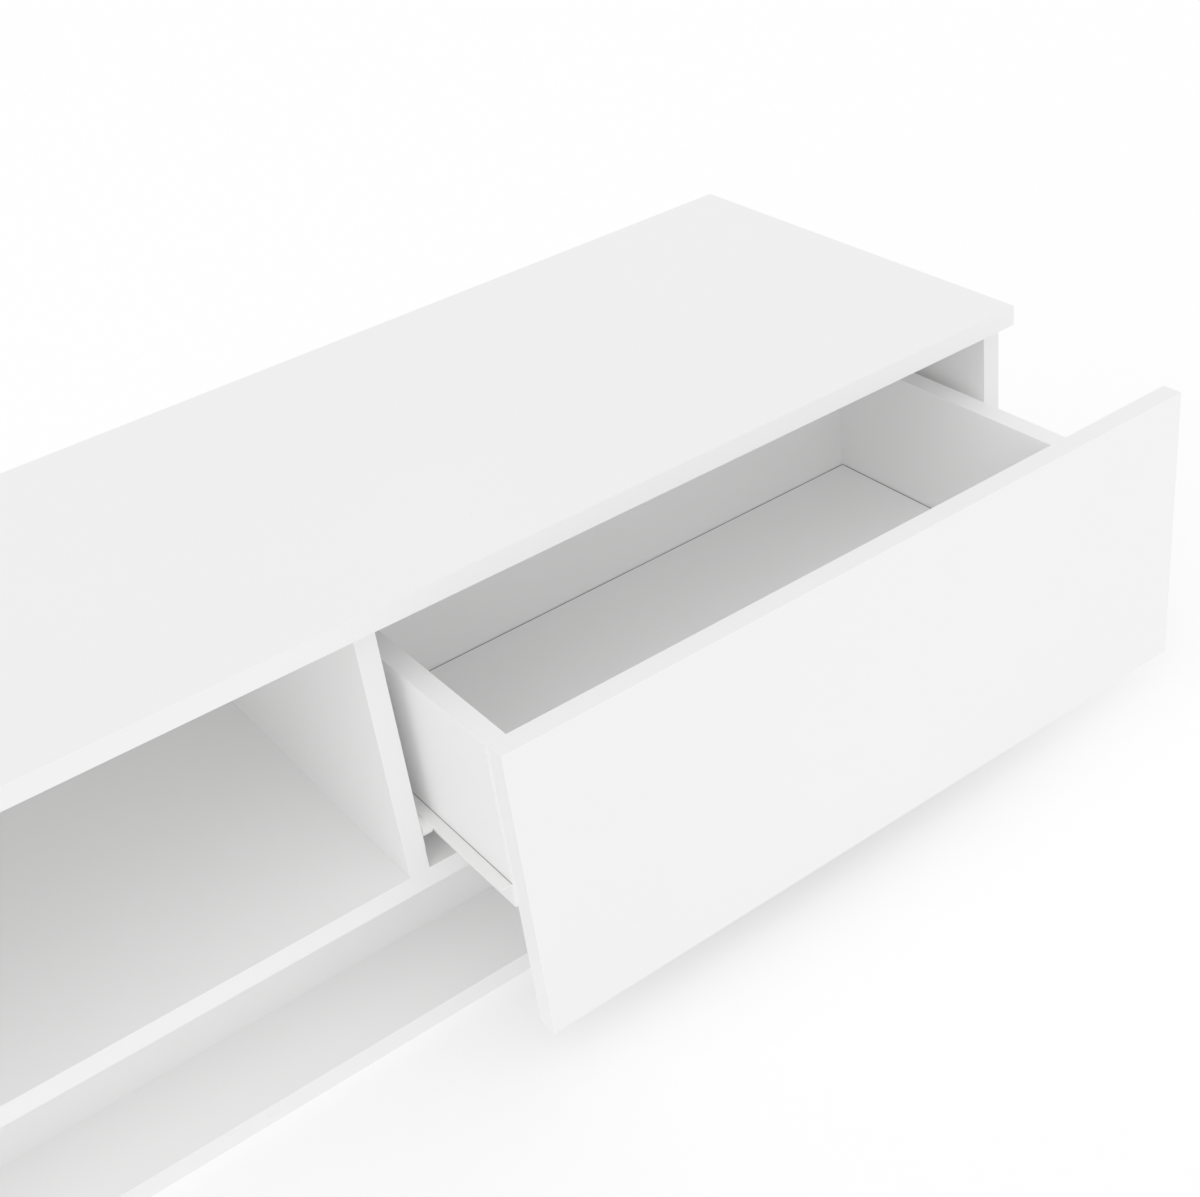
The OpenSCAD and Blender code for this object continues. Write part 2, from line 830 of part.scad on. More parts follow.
module drawer_cams() {
    color(zinc) both_walls() front_cam_places() cam();
}

module drawer_cam_bolts() {
    color(zinc) both_walls() front_bolt_pattern();
}

module drawer_dowels() {
    color(beech) {
        both_walls() side_floor_dowels();
        end_floor_dowels();
    }
}

module drawer_screws() {
    color(zinc) both_walls() box_screw_pattern();
}

module runner_screws() {
    color(zinc) both_walls() runner_screw_pattern();
}

module runner_rivets() {
    both_walls() runner_rivet();
}

// ---- drawing -----------------------------------------------------------------------

// One node of a drawer, by its name without the hand
module drawer_piece(name, left) {
    in_drawer(left) {
        if (name == "drawer_front") drawer_front();
        if (name == "drawer_inner_side") drawer_side();
        if (name == "drawer_outer_side") on_wall(true) drawer_side();
        if (name == "drawer_back") drawer_back();
        if (name == "drawer_floor") drawer_floor();
        if (name == "inner_runner") runner();
        if (name == "outer_runner") on_wall(true) runner();
        if (name == "inner_runner_roller") runner_roller();
        if (name == "outer_runner_roller") on_wall(true) runner_roller();
        if (name == "drawer_cams") drawer_cams();
        if (name == "drawer_cam_bolts") drawer_cam_bolts();
        if (name == "drawer_dowels") drawer_dowels();
        if (name == "drawer_screws") drawer_screws();
        if (name == "runner_screws") runner_screws();
        if (name == "runner_rivets") runner_rivets();
    }
}

top_board();
left_side_board();
right_side_board();
left_divider();
right_divider();
bottom_board();
back_board();
plinth_front_rail();
plinth_rear_rail();
plinth_left_end();
plinth_right_end();
plinth_ribs();
base_board();
top_cams();
top_cam_bolts();
carcass_dowels();
carcass_screws();
back_pins();
track_screws();
track_rivets();
right_inner_track();
right_outer_track();
left_inner_track();
left_outer_track();
right_inner_track_roller();
right_outer_track_roller();
left_inner_track_roller();
left_outer_track_roller();

DRAWER_PIECES = [
    "drawer_front", "drawer_inner_side", "drawer_outer_side", "drawer_back",
    "drawer_floor", "inner_runner", "outer_runner", "inner_runner_roller",
    "outer_runner_roller", "drawer_cams", "drawer_cam_bolts", "drawer_dowels",
    "drawer_screws", "runner_screws", "runner_rivets"
];
for (piece = DRAWER_PIECES) {
    drawer_piece(piece, false);
    drawer_piece(piece, true);
}
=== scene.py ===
"""Low television stand in white faced board: its looks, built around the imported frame."""

import json
import math

import bmesh
import bpy
from bpy.props import FloatProperty, FloatVectorProperty, IntProperty, PointerProperty
from mathutils import Matrix, Vector

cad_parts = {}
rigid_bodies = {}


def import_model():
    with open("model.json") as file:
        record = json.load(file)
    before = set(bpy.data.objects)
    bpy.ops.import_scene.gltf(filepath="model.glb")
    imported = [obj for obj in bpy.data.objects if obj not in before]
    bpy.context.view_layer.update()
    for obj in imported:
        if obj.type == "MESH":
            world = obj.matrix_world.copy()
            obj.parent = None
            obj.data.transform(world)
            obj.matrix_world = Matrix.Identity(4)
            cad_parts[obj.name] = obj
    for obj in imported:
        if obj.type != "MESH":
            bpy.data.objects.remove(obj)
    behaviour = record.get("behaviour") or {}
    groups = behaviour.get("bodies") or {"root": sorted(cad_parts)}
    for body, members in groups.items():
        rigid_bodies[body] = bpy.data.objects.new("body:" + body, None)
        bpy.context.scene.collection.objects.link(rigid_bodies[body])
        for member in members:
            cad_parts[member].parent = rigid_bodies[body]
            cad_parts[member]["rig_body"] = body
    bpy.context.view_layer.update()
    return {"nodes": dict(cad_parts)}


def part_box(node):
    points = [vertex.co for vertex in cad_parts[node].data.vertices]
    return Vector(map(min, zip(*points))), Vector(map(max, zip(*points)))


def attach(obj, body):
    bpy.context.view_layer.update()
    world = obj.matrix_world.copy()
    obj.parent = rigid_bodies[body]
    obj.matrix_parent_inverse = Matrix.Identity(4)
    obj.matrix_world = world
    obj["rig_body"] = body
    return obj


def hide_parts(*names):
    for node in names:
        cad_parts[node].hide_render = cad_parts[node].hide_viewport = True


bl_info = {
    "name": "White television stand",
    "version": (1, 0, 0),
    "blender": (4, 5, 0),
    "location": "3D View > Sidebar > Stand",
    "description": "Builds the boards, slides and fixings of a low white television stand",
    "category": "Add Mesh",
}

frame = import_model()
MM = 0.001
HANDS = ("left", "right")
WALLS = ("inner", "outer")

# Material indices on a board: facing, edge band, corners with a painted highlight, and a
# near-black core as painted shade in a gap.
FACING, BAND, ARRIS, GAP_SHADE = range(4)

NEAR = 0.01 * MM  # places closer than this are the same
SAME_POINT = 0.001 * MM  # corners closer than this are joined
ON_PLANE = 0.0001 * MM  # points closer than this lie on a cutting plane
FLAT_ANGLE = math.radians(0.5)  # a smaller bend between two faces is none
FOLD_ANGLE = math.radians(60.0)  # a bigger bend between two faces is a fold or a rim
SMOOTH_ANGLE = math.radians(35.0)  # a smaller bend between two faces is shaded smooth
SLANTED = 0.995  # a face whose normal is less along every axis is part of a curve
GAP_REACH = 2.0 * MM  # how far in from a board's edge the faces of a joint's gap lie
HOLE_LONGEST = 30.0 * MM  # longest side of a facet in a hole's wall
HOLE_SHORTEST = 0.3 * MM  # shortest side of a facet in a hole's wall
SHORTEST_FOLD = 20.0 * MM  # shorter edges of the steel belong to its holes
ALONG_RUN = 0.999  # share of an edge's length that lies along the slide's run
CUT_FACE = 1.5  # widest cut face of the steel, in sheet thicknesses
FOLD_STEPS = 5  # faces across an outer fold of the steel
SMALL_STEPS = 2  # faces across an inner fold or a cut edge
RIM_STEPS = 3  # faces across a roller's rim

# How far the facing's pattern moves from one board to the next, and where it starts, in metres.
PATTERN_STEP = 1.7
PLINTH_PATTERN = 0.6
DRAWER_PATTERN = 1.1

# The Mix node's sockets when it mixes colours: share, first and second colour, and result.
MIX_COLOUR_INPUTS = (0, 6, 7)
MIX_COLOUR_OUTPUT = 2

FLOOR_R = 30.0  # metres
FLOOR_STEPS = 96
SENSOR_W = 36.0  # millimetres

CARCASS_BOARDS = (
    "top_board",
    "left_side_board",
    "right_side_board",
    "left_divider",
    "right_divider",
    "bottom_board",
)
PLINTH_BOARDS = (
    "base_board",
    "plinth_front_rail",
    "plinth_rear_rail",
    "plinth_left_end",
    "plinth_right_end",
    "plinth_ribs",
)
DRAWER_BOARDS = (
    "drawer_front",
    "drawer_inner_side",
    "drawer_outer_side",
    "drawer_back",
    "drawer_floor",
)
ZINC_FIXINGS = (
    "top_cams",
    "top_cam_bolts",
    "carcass_screws",
    "back_pins",
    "track_screws",
    "track_rivets",
)
DRAWER_ZINC_FIXINGS = (
    "drawer_cams",
    "drawer_cam_bolts",
    "drawer_screws",
    "runner_screws",
    "runner_rivets",
)


# ---- properties --------------------------------------------------------------------


def colour_setting(name, description, default):
    """A colour that the sidebar shows."""
    return FloatVectorProperty(
        name=name, description=description, subtype="COLOR", size=3, default=default
    )


def length_setting(name, description, default):
    """A length that the sidebar shows."""
    return FloatProperty(name=name, description=description, default=default, unit="LENGTH")


class StandBoardSettings(bpy.types.PropertyGroup):
    """The faced boards and their edge bands"""

    face_colour: colour_setting(
        "Face colour",
        "Colour of the boards' white facing",
        (0.90, 0.90, 0.897),
    )
    band_colour: colour_setting(
        "Edge band colour",
        "Colour of the plastic band on the boards' edges",
        (0.90, 0.90, 0.898),
    )
    # Lighter than the facing: a painted highlight along the rounded corners.
    arris_highlight_colour: colour_setting(
        "Arris colour",
        "Colour of the scraped corners, where the band and the facing meet",
        (0.99, 0.99, 0.988),
    )
    # Near black: bare chipboard darkened as painted shade in the joints and gaps.
    core_shade_colour: colour_setting(
        "Core colour",
        "Colour of the bare chipboard in the boards' joints and gaps",
        (0.045, 0.042, 0.04),
    )
    # How far down the walls around a drawer's floor the painted shade reaches.
    gap_depth: length_setting(
        "Gap depth", "Depth of the shadow gap around a drawer's floor", 2.5 * MM
    )
    band_t: length_setting("Edge band", "Thickness of the edge band", 0.8 * MM)
    arris_r: length_setting("Arris", "Radius of the boards' softened corners", 0.6 * MM)
    arris_segments: IntProperty(
        name="Arris steps", description="Faces across each softened corner", default=3
    )


class StandSlideSettings(bpy.types.PropertyGroup):
    """The coated steel slides and their nylon rollers"""

    steel_t: length_setting("Sheet", "Thickness of the slides' sheet steel", 1.2 * MM)
    inner_fold_r: length_setting("Inner fold", "Radius inside the sheet's folds", 0.4 * MM)
    cut_r: length_setting("Cut edge", "Radius of the coat on the sheet's cut edges", 0.3 * MM)
    rim_r: length_setting("Roller rim", "Radius of the rollers' moulded edges", 0.45 * MM)
    steel_colour: colour_setting(
        "Steel colour",
        "Colour of the slides' white coat",
        (0.87, 0.87, 0.862),
    )
    nylon_colour: colour_setting(
        "Nylon colour",
        "Colour of the rollers",
        (0.88, 0.88, 0.862),
    )


class StandFixingSettings(bpy.types.PropertyGroup):
    """The screws, cams, dowels, pins and the hardboard back"""

    zinc_colour: colour_setting(
        "Zinc colour",
        "Colour of the zinc plate",
        (0.60, 0.61, 0.63),
    )
    beech_colour: colour_setting(
        "Beech colour",
        "Colour of the dowels",
        (0.56, 0.36, 0.19),
    )
    back_colour: colour_setting(
        "Back colour",
        "Colour of the hardboard's white paint",
        (0.84, 0.84, 0.832),
    )


class StandStageSettings(bpy.types.PropertyGroup):
    """The floor, the lights and the camera"""

    lens: FloatProperty(name="Lens", description="Focal length in millimetres", default=53.91)
    camera_place: FloatVectorProperty(
        name="Camera place",
        description="Where the camera stands",
        subtype="XYZ",
        size=3,
        default=(-0.08223, -1.00605, 0.90295),
    )
    camera_turn: FloatVectorProperty(
        name="Camera turn",
        description="Azimuth, elevation and roll of the view, in degrees",
        size=3,
        default=(-31.84, 33.39, -8.0),
    )
    lens_shift: FloatProperty(
        name="Lens shift",
        description="Sideways shift of the lens, as a share of the sensor's width",
        default=-0.015,
    )
    world_light: FloatProperty(
        name="Surround light", description="Strength of the white surround", default=0.72
    )
    front_light: FloatProperty(
        name="Front light",
        description="Strength of the soft light beside the camera",
        default=0.40,
    )
    front_light_turn: FloatVectorProperty(
        name="Front light turn",
        description="Azimuth and elevation that the front light comes from, in degrees",
        size=2,
        default=(-76.0, 28.0),
    )
    top_light: FloatProperty(
        name="Top light", description="Strength of the soft light overhead", default=0.28
    )
    top_light_turn: FloatVectorProperty(
        name="Top light turn",
        description="Azimuth and elevation that the top light comes from, in degrees",
        size=2,
        default=(-40.0, 70.0),
    )
    softness: FloatProperty(
        name="Softness", description="Width of both soft lights, in degrees", default=60.0
    )
    gamma: FloatProperty(
        name="Gamma", description="Lift of the middle tones, for a pale, airy look", default=1.85
    )
    floor_glow: FloatProperty(
        name="Floor glow",
        description="Light given off by the lit sweep under the stand",
        default=0.2,
    )


# ---- shader nodes ------------------------------------------------------------------


def new_material(name, colour, roughness):
    """A material with its own Principled shader, and that shader."""
    material = bpy.data.materials.new(name)
    material.use_nodes = True
    shader = material.node_tree.nodes["Principled BSDF"]
    shader.inputs["Base Color"].default_value = (*colour, 1.0)
    shader.inputs["Roughness"].default_value = roughness
    material.diffuse_color = (*colour, 1.0)
    return material, shader


def feed(shader, name, value):
    """Links a value to one of the shader's inputs."""
    shader.id_data.links.new(value, shader.inputs[name])


def add_node(material, kind, **inputs):
    """A node of this kind with some of its inputs set or linked."""
    tree = material.node_tree
    made = tree.nodes.new(kind)
    for name, value in inputs.items():
        socket = made.inputs[name.replace("_", " ")]
        if isinstance(value, bpy.types.NodeSocket):
            tree.links.new(value, socket)
        else:
            socket.default_value = value
    return made


def object_coordinates(material, shift=(0.0, 0.0, 0.0), stretch=(1.0, 1.0, 1.0)):
    """The piece's own coordinates, moved and stretched."""
    source = add_node(material, "ShaderNodeTexCoord")
    mapping = add_node(material, "ShaderNodeMapping", Vector=source.outputs["Object"])
    mapping.inputs["Location"].default_value = shift
    mapping.inputs["Scale"].default_value = stretch
    return mapping.outputs["Vector"]


def noise(material, vector, scale, detail, roughness=0.5):
    """Smooth random values, about 0.5, over a vector."""
    made = add_node(
        material,
        "ShaderNodeTexNoise",
        Vector=vector,
        Scale=scale,
        Detail=detail,
        Roughness=roughness,
    )
    return made.outputs["Fac"]


def ramp(material, value, stops):
    """A colour ramp through (position, colour) stops."""
    made = add_node(material, "ShaderNodeValToRGB", Fac=value)
    points = made.color_ramp.elements
    while len(points) < len(stops):
        points.new(0.5)
    for point, (position, colour) in zip(points, stops):
        point.position = position
        point.color = (*colour, 1.0)
    return made.outputs["Color"]


def remap(material, value, low, high, from_low=0.0, from_high=1.0):
    """A value's range, by default 0 to 1, stretched to low and high."""
    made = add_node(
        material,
        "ShaderNodeMapRange",
        Value=value,
        From_Min=from_low,
        From_Max=from_high,
        To_Min=low,
        To_Max=high,
    )
    return made.outputs["Result"]


def mix_colours(material, share, first, second):
    """The first colour, a linked one, covered by a share of the second."""
    made = material.node_tree.nodes.new("ShaderNodeMix")
    made.data_type = "RGBA"
    share_in, first_in, second_in = (made.inputs[number] for number in MIX_COLOUR_INPUTS)
    material.node_tree.links.new(share, share_in)
    material.node_tree.links.new(first, first_in)
    second_in.default_value = (*second, 1.0)
    return made.outputs[MIX_COLOUR_OUTPUT]


def bump(material, shader, height, strength, distance):
    """Raises the surface by a height, without changing its shape."""
    made = add_node(
        material, "ShaderNodeBump", Height=height, Strength=strength, Distance=distance
    )
    feed(shader, "Normal", made.outputs["Normal"])


def vary_colour(material, place, scale, detail, stops):
    """A colour that drifts over the surface through (position, colour) stops."""
    return ramp(material, noise(material, place, scale, detail), stops)


def vary_gloss(material, shader, place, scale, detail, low, high):
    """Lets the roughness drift over the surface."""
    drift = noise(material, place, scale, detail)
    feed(shader, "Roughness", remap(material, drift, low, high))


def scaled(colour, share):
    """The colour made lighter or darker."""
    return tuple(c * share for c in colour)


# ---- finishes ----------------------------------------------------------------------


def faced_board(name, colour, shift):
    """White melamine facing: satin, faintly pearled, with a soft drift and rare dust specks."""
    material, shader = new_material(name, colour, roughness=0.42)
    place = object_coordinates(material, shift)
    drift = vary_colour(
        material,
        place,
        scale=2.6,
        detail=3.0,
        stops=[(0.35, scaled(colour, 0.985)), (0.65, colour)],
    )
    specks = add_node(material, "ShaderNodeTexVoronoi", Vector=place, Scale=46.0)
    patches = noise(material, place, scale=19.0, detail=0.0)
    rare = remap(material, patches, low=0.0, high=1.0, from_low=0.66, from_high=0.67)
    near = remap(
        material,
        specks.outputs["Distance"],
        low=1.0,
        high=0.0,
        from_low=0.014,
        from_high=0.022,
    )
    dots = add_node(material, "ShaderNodeMath")
    dots.operation = "MULTIPLY"
    material.node_tree.links.new(near, dots.inputs[0])
    material.node_tree.links.new(rare, dots.inputs[1])
    toned = mix_colours(material, dots.outputs[0], drift, scaled(colour, 0.62))
    feed(shader, "Base Color", toned)
    vary_gloss(material, shader, place, scale=7.0, detail=4.0, low=0.36, high=0.47)
    pearl = noise(material, place, scale=850.0, detail=2.0, roughness=0.6)
    bump(material, shader, pearl, strength=0.10, distance=0.05 * MM)
    return material


def edge_band(name, colour, shift):
    """Plastic edge band: smoother than the facing, with faint scraper marks along it."""
    material, shader = new_material(name, colour, roughness=0.3)
    place = object_coordinates(material, shift)
    tone = vary_colour(
        material,
        place,
        scale=5.0,
        detail=2.0,
        stops=[(0.3, scaled(colour, 0.985)), (0.7, colour)],
    )
    feed(shader, "Base Color", tone)
    vary_gloss(material, shader, place, scale=30.0, detail=2.0, low=0.24, high=0.36)
    marks = noise(material, place, scale=260.0, detail=1.0)
    bump(material, shader, marks, strength=0.12, distance=0.04 * MM)
    return material


def highlight_arris(name, colour, shift):
    """The polished corner left by the edge scraper, with a painted highlight: a little lighter
    than the faces beside it.
    """
    material, shader = new_material(name, colour, roughness=0.25)
    place = object_coordinates(material, shift)
    tone = vary_colour(
        material,
        place,
        scale=40.0,
        detail=2.0,
        stops=[(0.3, scaled(colour, 0.97)), (0.6, colour)],
    )
    feed(shader, "Base Color", tone)
    vary_gloss(material, shader, place, scale=130.0, detail=2.0, low=0.2, high=0.34)
    return material


def shaded_core(name, colour, shift):
    """Sawn chipboard's pressed chips and open pores, in a near-black colour that is painted shade
    for the joints' gaps.
    """
    material, shader = new_material(name, colour, roughness=0.9)
    place = object_coordinates(material, shift)
    chips = add_node(material, "ShaderNodeTexVoronoi", Vector=place, Scale=620.0)
    tone = ramp(
        material,
        chips.outputs["Distance"],
        [(0.1, scaled(colour, 1.25)), (0.45, colour), (0.8, scaled(colour, 0.45))],
    )
    feed(shader, "Base Color", tone)
    pores = noise(material, place, scale=900.0, detail=3.0)
    bump(material, shader, pores, strength=0.6, distance=0.2 * MM)
    return material


def painted_hardboard(colour):
    """White paint over pressed fibre: a fine orange-peel skin with faint mottling."""
    material, shader = new_material("painted hardboard", colour, roughness=0.5)
    place = object_coordinates(material)
    mottle = vary_colour(
        material,
        place,
        scale=14.0,
        detail=4.0,
        stops=[(0.3, scaled(colour, 0.97)), (0.7, colour)],
    )
    feed(shader, "Base Color", mottle)
    vary_gloss(material, shader, place, scale=60.0, detail=2.0, low=0.45, high=0.6)
    squeezed = object_coordinates(material, stretch=(1.0, 1.0, 2.2))
    fibre = noise(material, squeezed, scale=420.0, detail=3.0, roughness=0.6)
    bump(material, shader, fibre, strength=0.2, distance=0.08 * MM)
    return material


def coated_steel(colour):
    """White epoxy coat on folded sheet: half gloss, with orange peel and rubbed tracks."""
    material, shader = new_material("coated steel", colour, roughness=0.32)
    place = object_coordinates(material)
    tone = vary_colour(
        material,
        place,
        scale=22.0,
        detail=3.0,
        stops=[(0.3, scaled(colour, 0.975)), (0.7, colour)],
    )
    drawn_out = object_coordinates(material, stretch=(1.0, 0.04, 1.0))
    rubbed = noise(material, drawn_out, scale=900.0, detail=2.0)
    worn = remap(material, rubbed, low=0.0, high=0.25, from_low=0.62, from_high=0.75)
    toned = mix_colours(material, worn, tone, scaled(colour, 0.86))
    feed(shader, "Base Color", toned)
    vary_gloss(material, shader, place, scale=110.0, detail=2.0, low=0.26, high=0.4)
    peel = noise(material, place, scale=640.0, detail=1.0)
    bump(material, shader, peel, strength=0.18, distance=0.05 * MM)
    return material


def moulded_nylon(colour):
    """Milky nylon with a satin mould skin and faint turning marks."""
    material, shader = new_material("moulded nylon", colour, roughness=0.4)
    shader.inputs["Subsurface Weight"].default_value = 0.15
    shader.inputs["Subsurface Radius"].default_value = (0.9 * MM, 0.9 * MM, 0.8 * MM)
    shader.inputs["Subsurface Scale"].default_value = 1.0
    place = object_coordinates(material)
    tone = vary_colour(
        material,
        place,
        scale=160.0,
        detail=3.0,
        stops=[(0.3, scaled(colour, 0.96)), (0.7, colour)],
    )
    feed(shader, "Base Color", tone)
    vary_gloss(material, shader, place, scale=300.0, detail=2.0, low=0.34, high=0.5)
    skin = noise(material, place, scale=1200.0, detail=1.0)
    bump(material, shader, skin, strength=0.15, distance=0.03 * MM)
    return material


def zinc_plate(colour):
    """Bright zinc: metal with a cool and warm film and fine tumbling marks."""
    material, shader = new_material("zinc plate", colour, roughness=0.3)
    shader.inputs["Metallic"].default_value = 1.0
    place = object_coordinates(material)
    cool = scaled(colour, 0.93)
    warm = (colour[0], colour[1] * 0.985, colour[2] * 0.93)
    film = vary_colour(
        material,
        place,
        scale=90.0,
        detail=3.0,
        stops=[(0.32, cool), (0.52, colour), (0.72, warm)],
    )
    feed(shader, "Base Color", film)
    vary_gloss(material, shader, place, scale=420.0, detail=3.0, low=0.22, high=0.42)
    marks = noise(material, place, scale=1500.0, detail=2.0)
    bump(material, shader, marks, strength=0.2, distance=0.02 * MM)
    return material


def beech_wood(colour):
    """Dowel beech: short dark flecks on a pale pinkish ground."""
    material, shader = new_material("beech", colour, roughness=0.6)
    place = object_coordinates(material)
    upright = object_coordinates(material, stretch=(1.0, 1.0, 0.12))
    grain = noise(material, upright, scale=700.0, detail=4.0, roughness=0.65)
    ground = ramp(
        material,
        grain,
        [(0.3, scaled(colour, 0.72)), (0.5, colour), (0.75, scaled(colour, 1.12))],
    )
    fine = noise(material, place, scale=1300.0, detail=1.0)
    flecks = remap(material, fine, low=0.0, high=0.5, from_low=0.64, from_high=0.72)
    toned = mix_colours(material, flecks, ground, scaled(colour, 0.5))
    feed(shader, "Base Color", toned)
    gloss = remap(material, grain, low=0.5, high=0.7)
    feed(shader, "Roughness", gloss)
    bump(material, shader, grain, strength=0.4, distance=0.06 * MM)
    return material


def board_materials(settings, distance):
    """A board's materials in the order of their indices, one set for each shift."""
    makers = {
        "faced board": (faced_board, settings.face_colour),
        "edge band": (edge_band, settings.band_colour),
        "scraped arris": (highlight_arris, settings.arris_highlight_colour),
        "bare core": (shaded_core, settings.core_shade_colour),
    }
    found = []
    for name, (maker, colour) in makers.items():
        full_name = f"{name} {distance:g}"
        material = bpy.data.materials.get(full_name)
        found.append(material or maker(full_name, tuple(colour), (distance, 0.0, 0.0)))
    return found


# ---- modelling helpers -------------------------------------------------------------


def add_piece(name, bm, materials, node):
    """Makes the bmesh a piece at the origin that stands for a CAD node and rides on its body."""
    mesh = bpy.data.meshes.new(name)
    bm.to_mesh(mesh)
    bm.free()
    for material in materials:
        mesh.materials.append(material)
    piece = bpy.data.objects.new(name, mesh)
    bpy.context.scene.collection.objects.link(piece)
    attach(piece, frame["nodes"][node]["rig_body"])
    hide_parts(node)
    return piece


def node_copy(node):
    """A bmesh of a CAD node, its loose triangles joined and flat faces made whole."""
    bm = bmesh.new()
    bm.from_mesh(frame["nodes"][node].data)
    bmesh.ops.remove_doubles(bm, verts=bm.verts, dist=SAME_POINT)
    bmesh.ops.dissolve_limit(
        bm,
        angle_limit=FLAT_ANGLE,
        verts=bm.verts,
        edges=bm.edges,
        use_dissolve_boundaries=False,
    )
    return bm


def islands(bm):
    """The bmesh's separate solids, as lists of faces."""
    seen = set()
    for first in bm.faces:
        if first in seen:
            continue
        seen.add(first)
        found = [first]
        for face in found:
            for edge in face.edges:
                for other in edge.link_faces:
                    if other not in seen:
                        seen.add(other)
                        found.append(other)
        yield found


def thinnest(low, high):
    """The axis across a board."""
    return min(range(3), key=lambda i: high[i] - low[i])


def corners(faces):
    """Lowest and highest corner of some faces."""
    points = [v.co for f in faces for v in f.verts]
    low = Vector(min(p[i] for p in points) for i in range(3))
    high = Vector(max(p[i] for p in points) for i in range(3))
    return low, high


def soften_board(bm, band_t, arris_r, segments):
    """Marks the edge band on one board's faces and rounds its twelve outer edges."""
    low, high = corners(bm.faces)
    thin = thinnest(low, high)
    for axis in range(3):
        if axis == thin:
            continue
        for place in (low[axis] + band_t, high[axis] - band_t):
            split(bm, axis, place)
    rim = [edge for edge in bm.edges if on_rim(edge, low, high)]
    round_edges(bm, rim, arris_r, segments)
    for face in bm.faces:
        face.material_index = board_zone(face, low, high, thin, band_t)


def on_rim(edge, low, high):
    """Whether an edge lies where two of a board's outer faces meet."""
    flat = [
        axis
        for axis in range(3)
        for side in (low, high)
        if all(abs(vertex.co[axis] - side[axis]) < NEAR for vertex in edge.verts)
    ]
    return len(flat) >= 2


def board_zone(face, low, high, thin, band_t):
    """The material index for one face of a board, from its slant and its place."""
    middle = face.calc_center_median()
    steepest = max(range(3), key=lambda i: abs(face.normal[i]))
    rim = [axis for axis in range(3) if axis != thin]
    insets = [min(middle[i] - low[i], high[i] - middle[i]) for i in range(3)]
    # Slanted faces at the rim are the arris, which carries the painted highlight.
    if abs(face.normal[steepest]) < SLANTED:
        outer = min(insets) < band_t and face.calc_area() > 0.0
        return ARRIS if outer and not round_hole(face) else FACING
    # Faces of a joint's step near the rim take the near-black core: bare chipboard painted dark
    # as the gap's shade.
    if steepest == thin and insets[thin] > NEAR:
        return GAP_SHADE if min(insets[i] for i in rim) < GAP_REACH else FACING
    if steepest != thin:
        if insets[steepest] < NEAR:
            return BAND
        return GAP_SHADE if insets[steepest] < GAP_REACH else FACING
    return FACING if all(insets[i] > band_t - NEAR for i in rim) else BAND


def mark_gap(bm, thin, place, low, high):
    """Paints the part of one face inside a shadow gap, between a lowest and a highest corner,
    with the near-black core: painted shade on the face.
    """
    across = [axis for axis in range(3) if axis != thin]
    for axis in across:
        for level in (low[axis], high[axis]):
            split(bm, axis, level)
    for face in bm.faces:
        middle = face.calc_center_median()
        if abs(middle[thin] - place) < NEAR and all(low[i] < middle[i] < high[i] for i in across):
            face.material_index = GAP_SHADE


def split(bm, axis, level):
    """Cuts the faces of a bmesh where they cross this level of an axis."""
    point, normal = Vector((0.0, 0.0, 0.0)), Vector((0.0, 0.0, 0.0))
    point[axis], normal[axis] = level, 1.0
    bmesh.ops.bisect_plane(
        bm,
        geom=bm.verts[:] + bm.edges[:] + bm.faces[:],
        dist=ON_PLANE,
        plane_co=point,
        plane_no=normal,
    )


def top_strip(node, depth):
    """Lowest and highest corner of the topmost part of a CAD node, this deep."""
    low, high = (Vector(corner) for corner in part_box(node))
    low.z = high.z - depth
    return low, high


def drawer_gaps(hand, name, depth, fold_r):
    """The gaps on a drawer's board, beside its floor and at its runner's fold, for mark_gap to
    paint as shade.
    """
    if name == "drawer_floor":
        return []
    low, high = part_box(f"{hand}_{name}")
    thin = thinnest(low, high)
    floor_gap = top_strip(f"{hand}_drawer_floor", depth)
    inner, outer = low[thin], high[thin]
    if abs(inner - floor_gap[1][thin]) >= MM:
        inner, outer = outer, inner
    gaps = [(thin, inner, *floor_gap)]
    if name.endswith("_side"):
        wall = name.split("_")[1]
        # A painted shadow line on the side's outer face, along the runner's top fold.
        gaps.append((thin, outer, *top_strip(f"{hand}_{wall}_runner", fold_r)))
    return gaps


def round_hole(face):
    """Whether a slanted face is a facet of a hole's wall, which is wider than a corner's."""
    sizes = [edge.calc_length() for edge in face.edges]
    return max(sizes) < HOLE_LONGEST and min(sizes) > HOLE_SHORTEST


def finish_shading(piece):
    """Smooth shading that leaves flat faces flat."""
    piece.data.shade_smooth()
    piece.data.set_sharp_from_angle(angle=SMOOTH_ANGLE)
    weighted = piece.modifiers.new("Flat faces", "WEIGHTED_NORMAL")
    weighted.keep_sharp = True
    weighted.mode = "FACE_AREA"


def faced_piece(node, settings, materials, gaps=()):
    """Makes the softened, edge-banded boards that stand for a CAD node."""
    whole = node_copy(node)
    bm = bmesh.new()
    whole.faces.index_update()
    for faces in list(islands(whole)):
        kept = {face.index for face in faces}
        board = whole.copy()
        board.faces.index_update()
        away = [face for face in board.faces if face.index not in kept]
        bmesh.ops.delete(board, geom=away, context="FACES")
        soften_board(board, settings.band_t, settings.arris_r, settings.arris_segments)
        for gap in gaps:
            mark_gap(board, *gap)
        mesh = bpy.data.meshes.new("board")
        board.to_mesh(mesh)
        board.free()
        bm.from_mesh(mesh)
        bpy.data.meshes.remove(mesh)
    whole.free()
    piece = add_piece(node + "_faced", bm, materials, node)
    finish_shading(piece)


